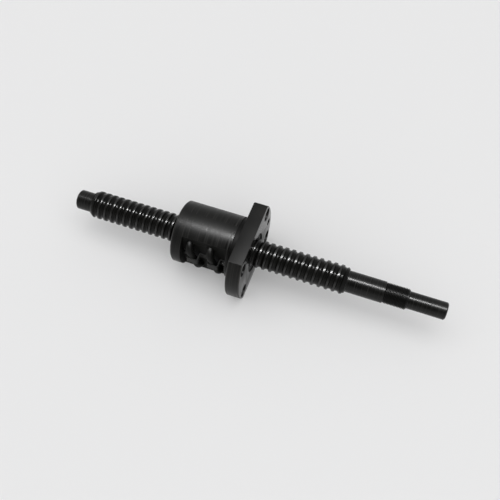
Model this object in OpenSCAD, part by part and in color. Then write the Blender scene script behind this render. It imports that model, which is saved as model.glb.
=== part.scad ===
/* [Thread and balls] */
// Hand of the thread: -1 is left hand, 1 is right hand
thread_hand = -1; // [-1, 1]
// Travel of the nut along the screw in one turn
lead = 5; // [4.6:0.1:5.6]
// Diameter of one ball
ball_d = 3.175; // [2.9:0.025:3.3]
// Diameter of the circle that the ball centres run on
ball_circle_d = 20.75; // [20.5:0.05:21.2]
// Diameter of the screw over its lands, between the grooves
screw_d = 19.8; // [19.4:0.1:20]
// Diameter of the nut's bore over its lands
nut_land_d = 20.7; // [20.5:0.1:21]
// Play between a ball and the groove of the screw or the nut
groove_play = 0.18; // [0.12:0.01:0.22]
// Length of the play that each ball has along its loop
ball_gap = 0.1; // [0.08:0.02:0.4]

/* [Screw] */
// Length of the grooved part of the screw
thread_l = 189; // [150:1:260]
// Length of the chamfer where each end of the grooved part runs out
run_out_l = 2.2; // [1.5:0.1:4]
// Diameter at the small end of that chamfer
run_out_d = 16.8; // [16:0.2:17.4]
// Diameter of the plain rear end
rear_end_d = 14; // [10:0.5:16]
// Length of the plain rear end
rear_end_l = 12; // [6:1:40]
// Diameter of the journal that the bearings sit on
journal_d = 15; // [12:0.5:15.5]
// Length of the journal that the bearings sit on
journal_l = 26; // [15:1:50]
// Diameter over the fine thread for the lock nut
lock_thread_d = 14.6; // [12:0.1:15]
// Length of the fine thread for the lock nut
lock_thread_l = 16; // [8:1:25]
// Diameter of the drive end, which takes the coupling
drive_end_d = 12; // [8:0.5:12]
// Length of the drive end
drive_end_l = 26; // [15:1:50]
// Size of the chamfers on the shaft ends
end_chamfer = 0.8; // [0.3:0.1:1.5]
// Distance from the rear end of the grooved part to the nut's mounting face
nut_place = 113; // [80:1:160]

/* [Nut] */
// Diameter of the nut's body, which sits in the housing
nut_d = 44; // [43:0.5:48]
// Length of the nut's body behind the flange
nut_body_l = 45; // [43:1:60]
// Diameter of the flange
flange_d = 67; // [66:1:76]
// Thickness of the flange
flange_t = 10; // [9:0.5:14]
// Distance between the two flats of the flange
flange_flats = 44; // [43:1:56]
// Diameter of the circle that the flange bolts stand on
bolt_circle_d = 55; // [54:0.5:57]
// Angle of each bolt hole from the line through the middle of the round sides
bolt_angle = 30; // [24:1:34]
// Diameter of the bolt holes
bolt_hole_d = 5.5; // [4.5:0.1:6.6]
// Diameter of the counterbores for the bolt heads
bolt_head_d = 9.5; // [8:0.5:10]
// Depth of the counterbores
bolt_head_l = 5.5; // [4:0.5:6]
// Diameter of the tapped grease port in the flange
grease_port_d = 5; // [4:0.2:6]
// Depth of the tapped grease port
grease_port_l = 7.5; // [7.4:0.1:8]
// Diameter of the drilling from the grease port to the raceway
grease_drill_d = 2; // [1.5:0.1:2.2]
// Width of the relief groove next to the flange
relief_w = 3; // [2:0.5:4]
// Depth of the relief groove
relief_l = 0.5; // [0.3:0.1:1]
// Chamfer at the nut's rear end
nut_chamfer = 1; // [0.5:0.1:1.5]
// Chamfer around the flange's rims
flange_chamfer = 0.4; // [0.2:0.1:0.8]

/* [Return tubes] */
// Number of turns that the balls run under load in each loop
loop_turns = 1.5; // [1.5]
// Whole number of turns between the two loops
loop_spacing_turns = 3; // [3, 4]
// Bore of a return tube
tube_bore_d = 3.45; // [3.3:0.05:3.6]
// Outside diameter of a return tube
tube_d = 4.5; // [4.2:0.1:4.7]
// Distance from the screw's axis to the middle of the top of a tube
tube_height = 18.25; // [18:0.25:18.5]
// Radius of the bends of a tube, at its middle
tube_bend_r = 5; // [4.5:0.25:6]
// Play between a tube and its hole in the nut
tube_play = 0.05; // [0.02:0.01:0.1]
// Distance from the axis to where the full tube ends and its scoop starts
scoop_top = 6.5; // [6:0.1:8]
// Distance from the plane through the axis to the tip of the scoop
scoop_tip = 1.5; // [1:0.1:3]
// Distance from the axis to the floor of the pocket that holds the tubes
pocket_floor = 14.4; // [14.2:0.1:15]
// Length of the pocket beyond the outer legs of the tubes, at each end
pocket_margin = 5; // [4.8:0.1:5.4]
// Width of the full ring of the nut between the pocket and the relief groove
pocket_land = 2; // [1:0.5:2.5]

/* [Tube clamp] */
// Thickness of the sheet of the clamp
clamp_t = 0.8; // [0.6:0.1:1]
// Width of the clamp
clamp_w = 4.5; // [4:0.1:5]
// Play between the clamp and the tubes
clamp_play = 0.05; // [0.02:0.01:0.1]
// Diameter of the shank of a clamp screw
clamp_screw_d = 2; // [1.6:0.1:2.5]
// Depth that a clamp screw reaches into the nut
clamp_screw_l = 1.6; // [1.2:0.1:1.7]
// Diameter of the head of a clamp screw
clamp_head_d = 3.8; // [3.2:0.1:4]
// Height of the head of a clamp screw
clamp_head_l = 1.3; // [1:0.1:2]
// Width of the slot in the head of a clamp screw
clamp_slot_w = 0.5; // [0.4:0.1:0.8]
// Gap between the head of a clamp screw and the side of the bent clamp
clamp_screw_gap = 0.15; // [0.1:0.05:0.3]

/* [Wipers] */
// Diameter of the recess at each end of the nut
recess_d = 28; // [26:0.5:29]
// Depth of the recess at each end of the nut
recess_l = 5; // [4.5:0.1:5.1]
// Thickness of a wiper ring
wiper_t = 4; // [3:0.1:4.3]
// Bore of a wiper ring
wiper_bore_d = 20.1; // [20.1:0.1:21]
// Chamfer at the outer end of a wiper ring's bore
wiper_chamfer = 1; // [0.5:0.1:2]
// Play around a wiper ring in its recess
wiper_play = 0.1; // [0.05:0.05:0.2]
// Diameter of the set screw that holds a wiper ring
set_screw_d = 3; // [2.5:0.5:4]
// Length of that set screw
set_screw_l = 5; // [3:0.5:6]

/* [Hidden] */

black_steel = "#24231f";
black_nut = "#2e2e2b";
tube_steel = "#3b3936";
ball_steel = "#c9ccd0";
wiper_black = "#18181a";
screw_black = "#1c1c1c";

$fn = 96;
// Steps round small holes and screws, round the tubes, round a ball, along a turn and across a groove
hole_steps = 32;
tube_steps = 48;
ball_steps = 24;
thread_segments = 24;
arc_points = 4;
// How far a cutting shape reaches past the face that it cuts
cut = 1;
// A ragged end of a raceway rod is shorter than this many turns
ragged_turns = 3;

front_face = flange_t;
rear_face = -nut_body_l;

circle_r = ball_circle_d / 2;
groove_r = ball_d / 2 + groove_play;
thread_rear = -nut_place;
thread_front = thread_rear + thread_l;

loop_l = loop_turns * lead;
loop_spacing = loop_spacing_turns * lead;
pocket_front = -relief_w - pocket_land;
pocket_l = loop_spacing + loop_l + 2 * pocket_margin;
pocket_rear = pocket_front - pocket_l;
pocket_mid = (pocket_front + pocket_rear) / 2;
rear_loop = pocket_mid - loop_spacing / 2;
front_loop = pocket_mid + loop_spacing / 2;
// The groove crosses the -Y side at the middle of each loop and the +Y side half a lead away.
groove_at = rear_loop + lead / 2;

plan_l = norm([loop_l, ball_circle_d]);
plan_angle = atan2(thread_hand * ball_circle_d, loop_l);
leg_l = tube_height - tube_bend_r;
bend_l = tube_bend_r * PI / 2;
top_l = plan_l - 2 * tube_bend_r;
return_l = 2 * leg_l + 2 * bend_l + top_l;
loaded_l = loop_turns * norm([PI * ball_circle_d, lead]);
ball_count = floor((loaded_l + return_l) / (ball_d + ball_gap));
ball_step = (loaded_l + return_l) / ball_count;

// Half the width of the bent clamp over one tube, which crosses it at a slant, and its screws' places
hat_half = tube_d / 2 / sin(abs(plan_angle)) + clamp_w / 2 * loop_l / ball_circle_d + clamp_play;
clamp_screw_reach = hat_half + clamp_t + clamp_screw_gap + clamp_head_d / 2;
clamp_x = [rear_loop - clamp_screw_reach, front_loop + clamp_screw_reach];
tube_top = tube_height + tube_d / 2;
foot_top = pocket_floor + clamp_t;

// Turns a child that stands on +Z to point along +X.
module along_x(x = 0) {
    translate([x, 0, 0]) rotate([0, 90, 0]) children();
}

// Turns a child that stands on +Z to point along -Y, out of the pocket.
module out_of_pocket(x = 0, height = 0) {
    translate([x, -height, 0]) rotate([90, 0, 0]) children();
}

// A solid of revolution about the X axis from points of radius and place.
module turned(profile) {
    along_x() rotate_extrude() polygon(profile);
}

// Points of one pitch of the raceway's profile: an arc around the ball centres, from land to land.
// Side -1 is the screw's groove, which dips inward, and side 1 is the nut's, which bulges outward.
// The points inside the arc stand a little outside it, so that its flats touch the true arc.
function raceway_profile(land_d, side) =
    let (half = acos(side * (land_d / 2 - circle_r) / groove_r), step = 2 * half / arc_points)
    [for (j = [0 : arc_points])
        let (angle = -half + j * step,
             reach = (j == 0 || j == arc_points) ? groove_r : groove_r / cos(step / 2))
        [reach * sin(angle), circle_r + side * reach * cos(angle)]];

// Where the middle of the groove crosses the +Y side, at or before a given place.
function groove_start(x) = groove_at + lead * floor((x - groove_at) / lead);

// A rod with the helical raceway on it: the screw itself, or the space that the nut leaves free.
// Both ends are ragged and are cut off by the caller.
// The grid follows the helix: one turn along it is the same point as one pitch across it.
module raceway_rod(land_d, side, from_x, to_x, widen = 1) {
    profile = raceway_profile(land_d, side);
    rows = len(profile);
    half_w = -profile[0][0];
    start = groove_start(from_x) - lead;
    steps = ceil((to_x - start + half_w) / lead * thread_segments);
    function place(i, j) =
        let (turn = i / thread_segments, angle = thread_hand * 360 * turn)
        [start + lead * turn + profile[j][0],
         profile[j][1] * widen * cos(angle),
         profile[j][1] * widen * sin(angle)];
    // The first row runs one turn further than the others and closes the last land.
    first_count = steps + thread_segments + 1;
    points = concat(
        [for (i = [0 : first_count - 1]) place(i, 0)],
        [for (j = [1 : rows - 1]) for (i = [0 : steps]) place(i, j)],
        [for (x = [start, start + steps / thread_segments * lead]) [x + lead / 2 - half_w, 0, 0]]);
    function index(i, j) = j == 0 ? i
        : j == rows ? i + thread_segments
        : first_count + (j - 1) * (steps + 1) + i;
    rear_point = len(points) - 2;
    front_point = len(points) - 1;
    skin = [for (i = [0 : steps - 1]) for (j = [0 : rows - 1])
        for (face = [[index(i, j), index(i, j + 1), index(i + 1, j + 1)],
                     [index(i, j), index(i + 1, j + 1), index(i + 1, j)]]) face];
    rear_cap = concat(
        [for (i = [0 : thread_segments - 1]) [rear_point, index(i, 0), index(i + 1, 0)]],
        [for (j = [0 : rows - 1]) [rear_point, index(0, j + 1), index(0, j)]]);
    front_cap = concat(
        [for (i = [0 : thread_segments - 1])
            [front_point, index(steps + i + 1, 0), index(steps + i, 0)]],
        [for (j = [0 : rows - 1]) [front_point, index(steps, j), index(steps, j + 1)]]);
    faces = concat(skin, rear_cap, front_cap);
    polyhedron(points, thread_hand > 0 ? faces : [for (f = faces) [f[0], f[2], f[1]]]);
}

// Cuts a rod off square at a place, with a chamfer. Direction 1 keeps what lies in front of it.
module end_cut(x, direction) {
    reach = ragged_turns * lead;
    big_r = screw_d / 2 + cut;
    slope = run_out_l / ((screw_d - run_out_d) / 2);
    turned([[0, x], [run_out_d / 2, x], [big_r, x + direction * slope * (big_r - run_out_d / 2)],
        [big_r, x - direction * reach], [0, x - direction * reach]]);
}

module screw_shaft() {
    overlap = run_out_l;
    rear_x = thread_rear - rear_end_l;
    journal_x = thread_front + journal_l;
    lock_x = journal_x + lock_thread_l;
    tip_x = lock_x + drive_end_l;
    c = end_chamfer;
    color(black_steel) union() {
        difference() {
            raceway_rod(screw_d, -1, thread_rear, thread_front);
            end_cut(thread_rear, 1);
            end_cut(thread_front, -1);
        }
        turned([[0, rear_x], [rear_end_d / 2 - c, rear_x], [rear_end_d / 2, rear_x + c],
            [rear_end_d / 2, thread_rear + overlap], [0, thread_rear + overlap]]);
        turned([[0, thread_front - overlap], [journal_d / 2, thread_front - overlap],
            [journal_d / 2, journal_x], [lock_thread_d / 2, journal_x],
            [lock_thread_d / 2, lock_x - c], [lock_thread_d / 2 - c, lock_x],
            [drive_end_d / 2, lock_x], [drive_end_d / 2, tip_x - c],
            [drive_end_d / 2 - c, tip_x], [0, tip_x]]);
    }
}

module nut_blank() {
    body_r = nut_d / 2;
    rim_r = flange_d / 2;
    c = flange_chamfer;
    difference() {
        turned([[0, rear_face], [body_r - nut_chamfer, rear_face], [body_r, rear_face + nut_chamfer],
            [body_r, -relief_w], [body_r - relief_l, -relief_w], [body_r - relief_l, 0],
            [rim_r - c, 0], [rim_r, c], [rim_r, front_face - c], [rim_r - c, front_face],
            [0, front_face]]);
        for (side = [-1, 1])
            translate([(front_face - relief_w / 2 + cut) / 2, 0, side * (flange_flats + flange_d) / 2])
                cube([front_face + relief_w / 2 + cut, flange_d + cut, flange_d], center = true);
    }
}

// Holes in the flange: four counterbored bolt holes and the grease port with its drilling.
module flange_holes() {
    for (side = [0, 180], angle = [-bolt_angle, bolt_angle])
        rotate([side + angle, 0, 0]) translate([0, bolt_circle_d / 2, 0]) {
            along_x(-cut) cylinder(d = bolt_hole_d, h = flange_t + 2 * cut);
            along_x(front_face - bolt_head_l) cylinder(d = bolt_head_d, h = bolt_head_l + cut);
        }
    translate([0, bolt_circle_d / 2, 0]) along_x(front_face - grease_port_l)
        cylinder(d = grease_port_d, h = grease_port_l + cut, $fn = tube_steps);
    // The drilling runs halfway between the bottom of the port and the floor of the wiper's recess.
    translate([front_face - (grease_port_l + recess_l) / 2, bolt_circle_d / 2, 0]) rotate([90, 0, 0])
        cylinder(d = grease_drill_d, h = bolt_circle_d / 2 - circle_r, $fn = hole_steps);
}

// The milled flat with the holes for the tube legs and the clamp screws.
module pocket() {
    deep = nut_d / 2 - pocket_floor + cut;
    translate([pocket_mid, -pocket_floor - deep / 2, 0])
        cube([pocket_l, deep, nut_d + cut], center = true);
    for (middle = [rear_loop, front_loop])
        loop_pipe(middle, tube_d + 2 * tube_play, 0);
    for (x = clamp_x)
        out_of_pocket(x, pocket_floor - clamp_screw_l)
            cylinder(d = clamp_screw_d + 2 * clamp_play, h = clamp_screw_l + cut, $fn = hole_steps);
}

module nut_body() {
    color(black_nut) difference() {
        nut_blank();
        along_x(rear_face - cut) cylinder(d = recess_d, h = recess_l + cut);
        along_x(front_face - recess_l) cylinder(d = recess_d, h = recess_l + cut);
        raceway_rod(nut_land_d, 1, rear_face + recess_l, front_face - recess_l,
            1 / cos(180 / thread_segments));
        flange_holes();
        pocket();
        for (x = [rear_face + recess_l / 2, front_face - recess_l / 2])
            translate([x, 0, -nut_d]) cylinder(d = set_screw_d + 2 * tube_play, h = nut_d, $fn = hole_steps);
    }
}

// A wiper ring on the floor of its recess. Direction 1 is the front end of the nut.
module wiper(direction) {
    floor_x = direction * wiper_play
        + (direction > 0 ? front_face - recess_l : rear_face + recess_l);
    outer_r = recess_d / 2 - wiper_play;
    inner_r = wiper_bore_d / 2;
    color(wiper_black) turned([[inner_r, floor_x], [outer_r, floor_x],
        [outer_r, floor_x + direction * wiper_t],
        [inner_r + wiper_chamfer, floor_x + direction * wiper_t],
        [inner_r, floor_x + direction * (wiper_t - wiper_chamfer)]]);
}

// A set screw with a hexagon socket, pointing inward at the wiper from below.
module wiper_screw(x) {
    tip = recess_d / 2;
    socket = set_screw_d / 2;
    color(screw_black) translate([x, 0, -tip - set_screw_l]) difference() {
        cylinder(d = set_screw_d, h = set_screw_l, $fn = hole_steps);
        translate([0, 0, -cut]) cylinder(d = socket, h = cut + set_screw_l / 2, $fn = 6);
    }
}

// A solid pipe along the way of the balls outside the nut, from one leg to the other.
module pipe(d, leg_start) {
    for (end = [0, 1])
        translate([end * plan_l, 0, 0]) rotate([0, 0, end * 180]) {
            translate([0, 0, leg_start]) cylinder(d = d, h = leg_l - leg_start, $fn = tube_steps);
            translate([tube_bend_r, 0, leg_l]) rotate([90, 0, 0])
                rotate([0, 0, 90]) rotate_extrude(angle = 90)
                    translate([tube_bend_r, 0]) circle(d = d, $fn = tube_steps);
        }
    translate([tube_bend_r, 0, tube_height]) rotate([0, 90, 0]) cylinder(d = d, h = top_l, $fn = tube_steps);
}

// The same pipe in its place on the nut, for the loop around a given middle.
module loop_pipe(middle, d, leg_start) {
    translate([middle - loop_l / 2, 0, -thread_hand * circle_r])
        rotate([90, 0, 0]) rotate([0, 0, plan_angle]) pipe(d, leg_start);
}

// A bent tube. The inner half of each leg's end is cut away, which leaves a scoop for the balls.
module return_tube(middle) {
    color(tube_steel) difference() {
        loop_pipe(middle, tube_d, scoop_tip);
        loop_pipe(middle, tube_bore_d, scoop_tip - cut);
        translate([middle, -scoop_top / 2, 0])
            cube([loop_l + tube_d + cut, scoop_top, ball_circle_d], center = true);
    }
}

// A strip of sheet bent over both tubes, with feet on the pocket's floor.
module tube_clamp() {
    inner = tube_top + clamp_play;
    end_x = clamp_head_d / 2 + clamp_play;
    rear_x = clamp_x[0] - end_x;
    front_x = clamp_x[1] + end_x;
    lower = [for (middle = [rear_loop, front_loop])
        for (p = [[-hat_half, pocket_floor], [-hat_half, inner], [hat_half, inner],
                  [hat_half, pocket_floor]]) [middle + p[0], p[1]]];
    upper = [for (middle = [front_loop, rear_loop])
        for (p = [[hat_half + clamp_t, foot_top], [hat_half + clamp_t, inner + clamp_t],
                  [-hat_half - clamp_t, inner + clamp_t], [-hat_half - clamp_t, foot_top]])
            [middle + p[0], p[1]]];
    outline = concat([[rear_x, pocket_floor]], lower,
        [[front_x, pocket_floor], [front_x, foot_top]], upper, [[rear_x, foot_top]]);
    color(tube_steel) difference() {
        translate([0, 0, -clamp_w / 2]) linear_extrude(clamp_w) polygon([for (p = outline) [p[0], -p[1]]]);
        for (x = clamp_x)
            out_of_pocket(x, pocket_floor - cut)
                cylinder(d = clamp_screw_d + 2 * clamp_play, h = clamp_t + 2 * cut, $fn = hole_steps);
    }
}

// A slotted cheese-head screw through a foot of the clamp.
module clamp_screw(x) {
    color(screw_black) difference() {
        union() {
            out_of_pocket(x, pocket_floor - clamp_screw_l) cylinder(d = clamp_screw_d,
                h = clamp_screw_l + clamp_t + clamp_head_l / 2, $fn = hole_steps);
            out_of_pocket(x, foot_top) cylinder(d = clamp_head_d, h = clamp_head_l, $fn = tube_steps);
        }
        out_of_pocket(x, foot_top + clamp_head_l)
            cube([clamp_slot_w, clamp_head_d + cut, clamp_head_l], center = true);
    }
}

// Place on the first half of the way outside the nut: along the tube's plan, and out from the axis.
function half_way(s) =
    s < leg_l ? [0, s]
    : s < leg_l + bend_l ? let (angle = (s - leg_l) / tube_bend_r * 180 / PI)
        [tube_bend_r * (1 - cos(angle)), leg_l + tube_bend_r * sin(angle)]
    : [s - leg_l - bend_l + tube_bend_r, tube_height];

function return_way(s) = s <= return_l / 2 ? half_way(s)
    : let (p = half_way(return_l - s)) [plan_l - p[0], p[1]];

// Place of a ball centre in a loop: under load on the helix first, then through the tube.
function ball_place(middle, s) =
    s < loaded_l
    ? let (turn = s / loaded_l * loop_turns, angle = thread_hand * (360 * turn - 90))
        [middle - loop_l / 2 + lead * turn, circle_r * cos(angle), circle_r * sin(angle)]
    : let (p = return_way(loaded_l + return_l - s), share = p[0] / plan_l)
        [middle + loop_l * (share - 0.5), -p[1], thread_hand * ball_circle_d * (share - 0.5)];

// The balls of one loop that lie between two places along it.
module balls(middle, from_s, to_s) {
    color(ball_steel) for (i = [0 : ball_count - 1]) {
        s = (i + 0.5) * ball_step;
        if (s >= from_s && s < to_s)
            translate(ball_place(middle, s)) sphere(d = ball_d, $fn = ball_steps);
    }
}

module loaded_balls(middle) balls(middle, 0, loaded_l);
module return_balls(middle) balls(middle, loaded_l, loaded_l + return_l);

module rear_wiper() wiper(-1);
module front_wiper() wiper(1);
module rear_wiper_screw() wiper_screw(rear_face + recess_l / 2);
module front_wiper_screw() wiper_screw(front_face - recess_l / 2);
module rear_return_tube() return_tube(rear_loop);
module front_return_tube() return_tube(front_loop);
module rear_clamp_screw() clamp_screw(clamp_x[0]);
module front_clamp_screw() clamp_screw(clamp_x[1]);
module rear_loaded_balls() loaded_balls(rear_loop);
module rear_return_balls() return_balls(rear_loop);
module front_loaded_balls() loaded_balls(front_loop);
module front_return_balls() return_balls(front_loop);

screw_shaft();
nut_body();
rear_wiper();
front_wiper();
rear_wiper_screw();
front_wiper_screw();
rear_return_tube();
front_return_tube();
tube_clamp();
rear_clamp_screw();
front_clamp_screw();
rear_loaded_balls();
rear_return_balls();
front_loaded_balls();
front_return_balls();
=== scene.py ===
# %% [markdown]
# # A ball screw on a studio sheet
# A ball screw turns rotation into a straight push. Balls run between a helical groove in the screw
# and the matching groove inside the nut, and two bent tubes on the nut's side bring them back.
# This one is blackened steel all over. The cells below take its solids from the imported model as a
# fixed frame, build each visible piece again with its real curves, and give it its finish.

# %% Load the frame
import math
import bpy
import bmesh
from mathutils import Matrix, Vector


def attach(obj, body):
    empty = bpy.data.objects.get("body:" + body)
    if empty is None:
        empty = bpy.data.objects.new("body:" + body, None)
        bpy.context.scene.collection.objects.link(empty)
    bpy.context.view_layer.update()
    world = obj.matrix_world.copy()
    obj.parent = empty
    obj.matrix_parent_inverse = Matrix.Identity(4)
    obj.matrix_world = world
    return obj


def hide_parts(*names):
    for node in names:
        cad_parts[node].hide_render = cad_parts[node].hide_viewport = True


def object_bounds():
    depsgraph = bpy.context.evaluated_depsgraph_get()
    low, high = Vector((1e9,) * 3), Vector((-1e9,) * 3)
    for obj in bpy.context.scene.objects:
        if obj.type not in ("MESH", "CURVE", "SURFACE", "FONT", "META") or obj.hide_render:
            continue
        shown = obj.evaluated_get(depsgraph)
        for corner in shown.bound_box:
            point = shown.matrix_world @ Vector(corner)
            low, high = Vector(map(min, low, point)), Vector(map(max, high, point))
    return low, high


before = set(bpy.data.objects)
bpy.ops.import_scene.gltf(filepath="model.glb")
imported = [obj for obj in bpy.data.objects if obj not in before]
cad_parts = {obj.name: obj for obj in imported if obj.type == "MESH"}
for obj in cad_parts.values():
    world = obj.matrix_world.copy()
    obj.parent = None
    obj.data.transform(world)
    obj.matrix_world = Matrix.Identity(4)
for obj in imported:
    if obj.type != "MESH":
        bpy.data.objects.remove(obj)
cad_box = [list(corner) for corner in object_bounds()]
MM = 0.001


def in_mm(box):
    """The corners of a box in millimetres, for printing."""
    return [[round(c / MM, 2) for c in corner] for corner in box]


print("solid model, mm:", in_mm(cad_box))

# %% [markdown]
# ## The camera
# The photograph looks down on the screw from the drive end's side. A camera is easiest to place by
# three directions: to the right, up the picture, and back towards the lens. Its distance and its
# lens come from how fast the grooves get closer together along the screw in the picture.

# %% Place the camera
CAMERA_AZIMUTH = math.radians(19.97)
CAMERA_ELEVATION = math.radians(57.75)
CAMERA_DISTANCE = 496.3 * MM
CAMERA_AIM = Vector((6.12 * MM, 0.0, 0.0))
CAMERA_LIFT = 0.73 * MM
SENSOR_WIDTH = 36.0
FOCAL_LENGTH = 51.5


def object_from(name, data):
    """A new object in the scene for a mesh, a camera or a light."""
    made = bpy.data.objects.new(name, data)
    bpy.context.scene.collection.objects.link(made)
    return made


def camera_directions(azimuth, elevation):
    """Right, up and back of a level camera that looks at the object."""
    right = Vector((math.cos(azimuth), math.sin(azimuth), 0.0))
    back = Vector((math.sin(azimuth) * math.cos(elevation),
                   -math.cos(azimuth) * math.cos(elevation), math.sin(elevation)))
    return right, back.cross(right), back


right, up, back = camera_directions(CAMERA_AZIMUTH, CAMERA_ELEVATION)
camera_data = bpy.data.cameras.new("studio_camera")
camera_data.sensor_width = SENSOR_WIDTH
camera_data.lens = FOCAL_LENGTH
camera = object_from("studio_camera", camera_data)
stand = Matrix((right, up, back)).transposed().to_4x4()
stand.translation = CAMERA_AIM + up * CAMERA_LIFT + back * CAMERA_DISTANCE
camera.matrix_world = stand
bpy.context.scene.camera = camera
bpy.context.scene.view_settings.view_transform = "Standard"
print("camera at, mm:", [round(c / MM) for c in camera.location], "lens", FOCAL_LENGTH)

# %% [markdown]
# ## Nodes from code
# The finishes, the room and the threads below are all trees of nodes. In code a node takes three
# steps: make it, choose its settings, and give each input a value or a link. These functions do that
# in one call, so that the lines further down only say what each node is for.

# %% Helpers for nodes
def feed(tree, node, inputs):
    """Fills a node's inputs: another node's socket is linked, any other value is set."""
    for label, value in inputs.items():
        if isinstance(value, bpy.types.NodeSocket):
            tree.links.new(value, node.inputs[label])
        else:
            node.inputs[label].default_value = value


def tree_node(tree, kind, inputs=None, **settings):
    """A new node with its settings and its inputs."""
    node = tree.nodes.new(kind)
    for label, value in settings.items():
        setattr(node, label, value)
    feed(tree, node, inputs or {})
    return node


def math_node(tree, operation, *values):
    """A Math node on numbers or sockets. Returns its output."""
    return tree_node(tree, "ShaderNodeMath", dict(enumerate(values)), operation=operation).outputs[0]


def range_node(tree, value, from_low, from_high, to_low, to_high, **settings):
    """A clamped Map Range node on one value. Returns its output."""
    return tree_node(tree, "ShaderNodeMapRange", {
        "Value": value, "From Min": from_low, "From Max": from_high,
        "To Min": to_low, "To Max": to_high}, **settings).outputs["Result"]


def new_paint(name):
    """A new material, its tree and its shader."""
    paint = bpy.data.materials.new(name)
    paint.use_nodes = True
    print("finish:", name)
    return paint, paint.node_tree, paint.node_tree.nodes["Principled BSDF"]


# %% [markdown]
# ## The sheet and the light
# The part lies on a pale matt sheet, on the lower flat of its flange. A long narrow tube light hangs
# straight above it: the bright band along the nut and the row of glints along the grooves both
# point there. It would throw a hard dark band under the screw, where the photograph has only a
# weak wide shadow, so it is kept for the reflections. The sheet is lit by the room and by a broad
# light that leans in from the front and stays out of the reflections in turn. The sheet also
# glows a little where it is seen, so that it reads as pale as in the photograph at this light.

# %% Make the sheet
SHEET_GAP = 0.1 * MM
SHEET_HALF = 6.0
SHEET_TONE, SHEET_BLUE = 0.67, 1.004
SHEET_ROUGH, SHEET_GLOSS = 0.9, 0.2
SHEET_GLOW = 0.145


def mesh_from(name, points, faces, edges=()):
    """A new mesh from its points and faces, or from points and edges alone."""
    mesh = bpy.data.meshes.new(name)
    mesh.from_pydata(points, edges, faces)
    return mesh


sheet_z = cad_box[0][2] - SHEET_GAP
sheet_mesh = mesh_from("studio_sheet", [(x * SHEET_HALF, y * SHEET_HALF, sheet_z) for x, y in
                                        ((-1, -1), (1, -1), (1, 1), (-1, 1))], [(0, 1, 2, 3)])
sheet = object_from("studio_sheet", sheet_mesh)
sheet_paint, tree, shader = new_paint("matt sheet")
ray = tree.nodes.new("ShaderNodeLightPath").outputs
seen = math_node(tree, "MAXIMUM", ray["Is Camera Ray"], ray["Is Glossy Ray"])
seen = math_node(tree, "MAXIMUM", seen, ray["Is Transmission Ray"])
feed(tree, shader, {
    "Base Color": (SHEET_TONE, SHEET_TONE, SHEET_TONE * SHEET_BLUE, 1), "Roughness": SHEET_ROUGH,
    "Specular IOR Level": SHEET_GLOSS, "Emission Color": (1.0, 1.0, 1.0, 1),
    "Emission Strength": math_node(tree, "MULTIPLY", seen, SHEET_GLOW)})
sheet_mesh.materials.append(sheet_paint)
print("sheet at height, mm:", round(sheet_z / MM, 2))

# %% Hang the tube light and the broad light
LAMP_PLACE = (0.12, -0.02, 0.9)
LAMP_LENGTH, LAMP_WIDTH = 1.0, 0.05
LAMP_POWER = 19.5
# The broad light is a sun: only the way it points counts, not its place.
BROAD_PLACE = (0.0, 0.6, 1.0)
BROAD_STRENGTH = 2.2
BROAD_SPREAD = math.radians(125)
BROAD_TILT = math.radians(30)


def lamp(name, kind, place, turn=(0.0, 0.0, 0.0), **settings):
    """A light with its settings. It shines straight down unless it is turned."""
    light = bpy.data.lights.new(name, kind)
    for label, value in settings.items():
        setattr(light, label, value)
    holder = object_from(name, light)
    holder.location = place
    holder.rotation_euler = turn
    return holder


tube_light = lamp("tube_light", "AREA", LAMP_PLACE, shape="RECTANGLE",
                  size=LAMP_LENGTH, size_y=LAMP_WIDTH, energy=LAMP_POWER)
tube_light.visible_diffuse = False
broad_light = lamp("broad_light", "SUN", BROAD_PLACE, (BROAD_TILT, 0.0, 0.0),
                   energy=BROAD_STRENGTH, angle=BROAD_SPREAD)
broad_light.visible_glossy = False
print("tube light, W:", LAMP_POWER, "broad light:", BROAD_STRENGTH)

# %% [markdown]
# ## The room
# Black steel is seen by what it reflects. The room is pale all round, like a paper tent, but it is
# open and dark above the front, so the steel that faces that way stays black. The two tones run into
# each other by the angle between the way that is looked and the middle of the opening.

# %% Fill the room
ROOM_PALE, ROOM_OPEN = 0.60, 0.04
OPEN_HEIGHT = math.radians(60)
OPEN_WHOLLY, OPEN_TO = math.radians(30), math.radians(54)

world = bpy.data.worlds.new("pale room")
bpy.context.scene.world = world
world.use_nodes = True
tree = world.node_tree
open_middle = (0.0, -math.cos(OPEN_HEIGHT), math.sin(OPEN_HEIGHT))
looked = tree.nodes.new("ShaderNodeTexCoord").outputs["Generated"]
nearness = tree_node(tree, "ShaderNodeVectorMath", {0: looked, 1: open_middle}, operation="DOT_PRODUCT")
room_tone = range_node(tree, nearness.outputs["Value"], math.cos(OPEN_TO), math.cos(OPEN_WHOLLY),
                       ROOM_PALE, ROOM_OPEN, interpolation_type="SMOOTHSTEP")
feed(tree, tree.nodes["Background"], {"Color": room_tone})
print("room:", ROOM_PALE, "all round,", ROOM_OPEN, "in the opening above the front")

# %% [markdown]
# ## Where on a turned part
# Most marks on a turned part follow the lathe: rings around the axis, and wear along the rims. So
# one small group of nodes gives every material the same two numbers, the place along the axis and
# the distance from it. It reads Object coordinates, so a finish stays put when the part moves.

# %% Helpers for shader groups
def shader_group(name, inputs, outputs):
    """An empty shader group. Returns its tree, the sockets that it is given, and its output node."""
    group = bpy.data.node_groups.new(name, "ShaderNodeTree")
    for label, value in inputs.items():
        kind = "NodeSocketColor" if isinstance(value, tuple) else "NodeSocketFloat"
        group.interface.new_socket(name=label, in_out="INPUT", socket_type=kind).default_value = value
    for label, kind in outputs.items():
        group.interface.new_socket(name=label, in_out="OUTPUT", socket_type="NodeSocket" + kind)
    print("group:", name)
    return group, group.nodes.new("NodeGroupInput").outputs, group.nodes.new("NodeGroupOutput")


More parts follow.
